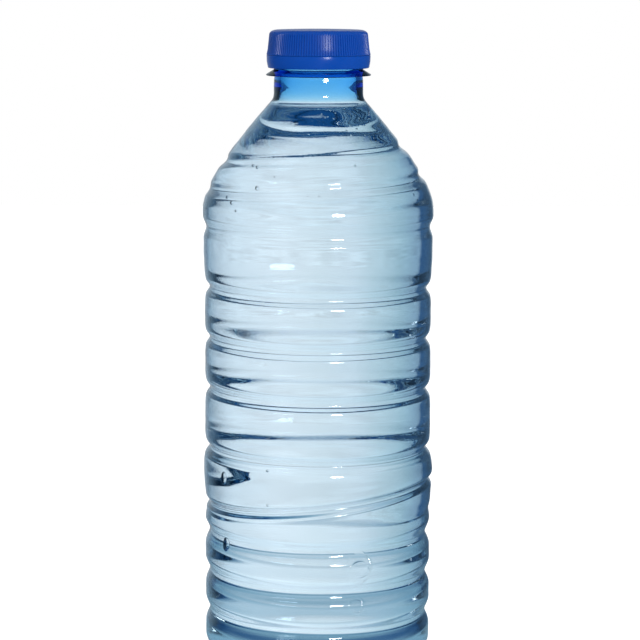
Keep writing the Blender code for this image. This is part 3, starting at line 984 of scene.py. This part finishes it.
def tone(tree, factor, first, second):
    """A colour between two, each a socket or a fixed colour."""
    node = tree.nodes.new("ShaderNodeMix")
    node.data_type = "RGBA"
    tree.links.new(factor, node.inputs["Factor"])
    feed(tree, node.inputs[6], first)
    feed(tree, node.inputs[7], second)
    return node.outputs[2]


def fade(tree, value, low, high):
    """0 up to low, 1 from high."""
    node = put(tree, "ShaderNodeMapRange", Value=value, From_Min=low, From_Max=high)
    node.interpolation_type = "SMOOTHSTEP"
    return node.outputs[0]


def choose(tree, factor, first, second):
    """The first shader where the factor is 0, the second where it is 1."""
    node = tree.nodes.new("ShaderNodeMixShader")
    for socket, value in zip(node.inputs, (factor, first, second)):
        tree.links.new(value, socket)
    return node.outputs[0]


def studio_world(g):
    """White to the camera, a plain light on the object, a lit backdrop in clear plastic."""
    world = bpy.data.worlds.new("studio")
    bpy.context.scene.world = world
    world.use_nodes = True
    tree = world.node_tree
    tree.nodes.clear()
    path = tree.nodes.new("ShaderNodeLightPath")
    direction = tree.nodes.new("ShaderNodeTexCoord").outputs["Generated"]
    through, mirrored = surroundings(tree, direction)
    split = put(tree, "ShaderNodeSeparateXYZ", Vector=direction)
    faded = g.backdrop_top + g.backdrop_fade
    above = fade(tree, split.outputs[2], math.sin(g.backdrop_top), math.sin(faded))
    through = tone(tree, above, through, g.dark)
    mirrored = tone(tree, above, mirrored, tuple(0.5 * part for part in g.dark))
    through = beyond_plastic(tree, path, through, mirrored)
    in_plastic = put(tree, "ShaderNodeBackground", Color=through, Strength=g.backdrop_glow)
    in_gloss = put(tree, "ShaderNodeBackground", Color=mirrored)
    plain = put(tree, "ShaderNodeBackground", Color=WHITE)
    light = put(tree, "ShaderNodeBackground", Color=WHITE, Strength=g.ambient)
    lit = choose(tree, path.outputs["Is Glossy Ray"], light.outputs[0], in_gloss.outputs[0])
    lit = choose(tree, path.outputs["Is Transmission Ray"], lit, in_plastic.outputs[0])
    lit = choose(tree, path.outputs["Is Camera Ray"], lit, plain.outputs[0])
    output = tree.nodes.new("ShaderNodeOutputWorld")
    tree.links.new(lit, output.inputs[0])


def floor_paper(g):
    """Pale floor: it keeps the lamps' shadow, and clear plastic shows a painted shadow on it close to the
    bottle.
    """
    made, tree, shader = material("floor_paper")
    _, mask = grain(tree, 90.0)
    path = tree.nodes.new("ShaderNodeLightPath")
    rough = between(tree, mask, 0.8, 0.9)
    to_camera = maths(tree, "MULTIPLY", path.outputs["Is Camera Ray"], g.floor_glow)
    fill(tree, shader, Base_Color=g.paper, Roughness=rough, Specular_IOR_Level=0.1)
    fill(tree, shader, Emission_Color=WHITE, Emission_Strength=to_camera)
    place = tree.nodes.new("ShaderNodeTexCoord").outputs["Object"]
    through, mirrored = surroundings(tree, place)
    through = beyond_plastic(tree, path, through, mirrored)
    far = how_far(tree, place)
    # Painted shadow: through the plastic the floor is dark near the bottle, with a greyish painted shade
    # round it.
    past_painted_shadow = fade(tree, far, g.painted_shadow_reach, g.painted_fringe_reach)
    past_painted_fringe = fade(tree, far, g.painted_fringe_reach, g.floor_bright)
    clouds = put(tree, "ShaderNodeTexNoise", Vector=place, Scale=7.0, Detail=3.0)
    uneven = between(tree, clouds.outputs[0], 1.0 - g.unevenness, 1.0 + g.unevenness)
    shown = []
    for value, glow in ((through, g.backdrop_glow), (mirrored, 1.0)):
        # The painted shadow and its painted grey shade are laid over what the floor shows.
        colours = tone(tree, past_painted_shadow, g.dark, tone(tree, past_painted_fringe, g.painted_shade_colour, value))
        strength = maths(tree, "MULTIPLY", uneven, glow)
        shown.append(put(tree, "ShaderNodeEmission", Color=colours, Strength=strength).outputs[0])
    lit = choose(tree, path.outputs["Is Glossy Ray"], shader.outputs[0], shown[1])
    lit = choose(tree, path.outputs["Is Transmission Ray"], lit, shown[0])
    tree.links.new(lit, tree.nodes["Material Output"].inputs["Surface"])
    return made


class BOTTLE_OT_stage(bpy.types.Operator):
    """Make the pale floor, the lights and the camera"""

    bl_idname = "bottle.make_stage"
    bl_label = "Studio"

    def execute(self, context):
        g = context.scene.bottle_stage
        scene = context.scene
        shape = bmesh.new()
        bmesh.ops.create_grid(shape, x_segments=8, y_segments=8, size=g.floor_size)
        mesh = bpy.data.meshes.new("floor")
        shape.to_mesh(mesh)
        shape.free()
        floor = show("floor", mesh)
        mesh.materials.append(floor_paper(g))
        studio_world(g)

        for name, power, nearer in (("key", g.key_power, 0.0), ("key_echo", g.echo_power, 0.01)):
            place = Vector((math.sin(g.key_turn), -math.cos(g.key_turn), 0.0)) * (g.key_distance - nearer)
            place.z = g.key_middle
            lamp = bpy.data.lights.new(name, "AREA")
            lamp.shape = "ELLIPSE"
            lamp.size = g.key_width
            lamp.size_y = g.key_height
            lamp.energy = power
            put_up = show(name, lamp)
            put_up.location = place
            put_up.rotation_euler = (Vector((0, 0, 0.15)) - place).to_track_quat("-Z", "Y").to_euler()
            put_up.visible_transmission = name == "key_echo"
            put_up.visible_glossy = name == "key"

        lens = bpy.data.cameras.new("camera")
        lens.lens = g.lens
        lens.sensor_width = 36.0
        camera = show("camera", lens)
        camera.location = (g.aside, -g.distance, g.height)
        camera.rotation_euler = (math.radians(90) - g.pitch, g.roll, 0.0)
        scene.camera = camera
        scene.view_settings.view_transform = "Standard"
        return {"FINISHED"}


class BOTTLE_PT_panel(bpy.types.Panel):
    """The bottle's pieces, in the sidebar"""

    bl_idname = "BOTTLE_PT_panel"
    bl_label = "Water bottle"
    bl_space_type = "VIEW_3D"
    bl_region_type = "UI"
    bl_category = "Bottle"

    def draw(self, context):
        column = self.layout.column()
        for operator in OPERATORS:
            column.operator(operator.bl_idname)
        for name in SETTINGS:
            settings = getattr(context.scene, name)
            box = self.layout.box()
            for key in settings.__annotations__:
                box.prop(settings, key)


OPERATORS = (
    BOTTLE_OT_shell,
    BOTTLE_OT_water,
    BOTTLE_OT_cap,
    BOTTLE_OT_liner,
    BOTTLE_OT_band,
    BOTTLE_OT_stage,
)
SETTINGS = {
    "bottle_shell": ShellSettings,
    "bottle_thread": ThreadSettings,
    "bottle_water": WaterSettings,
    "bottle_cap": CapSettings,
    "bottle_stage": StageSettings,
}


def register():
    for name, settings in SETTINGS.items():
        bpy.utils.register_class(settings)
        setattr(bpy.types.Scene, name, bpy.props.PointerProperty(type=settings))
    for kind in (*OPERATORS, BOTTLE_PT_panel):
        bpy.utils.register_class(kind)


def unregister():
    for kind in (BOTTLE_PT_panel, *reversed(OPERATORS)):
        bpy.utils.unregister_class(kind)
    for name, settings in SETTINGS.items():
        delattr(bpy.types.Scene, name)
        bpy.utils.unregister_class(settings)


def main():
    register()
    bpy.ops.bottle.make_shell()
    bpy.ops.bottle.make_water()
    bpy.ops.bottle.make_cap()
    bpy.ops.bottle.make_liner()
    bpy.ops.bottle.make_band()
    bpy.ops.bottle.make_stage()


if __name__ == "__main__":
    main()
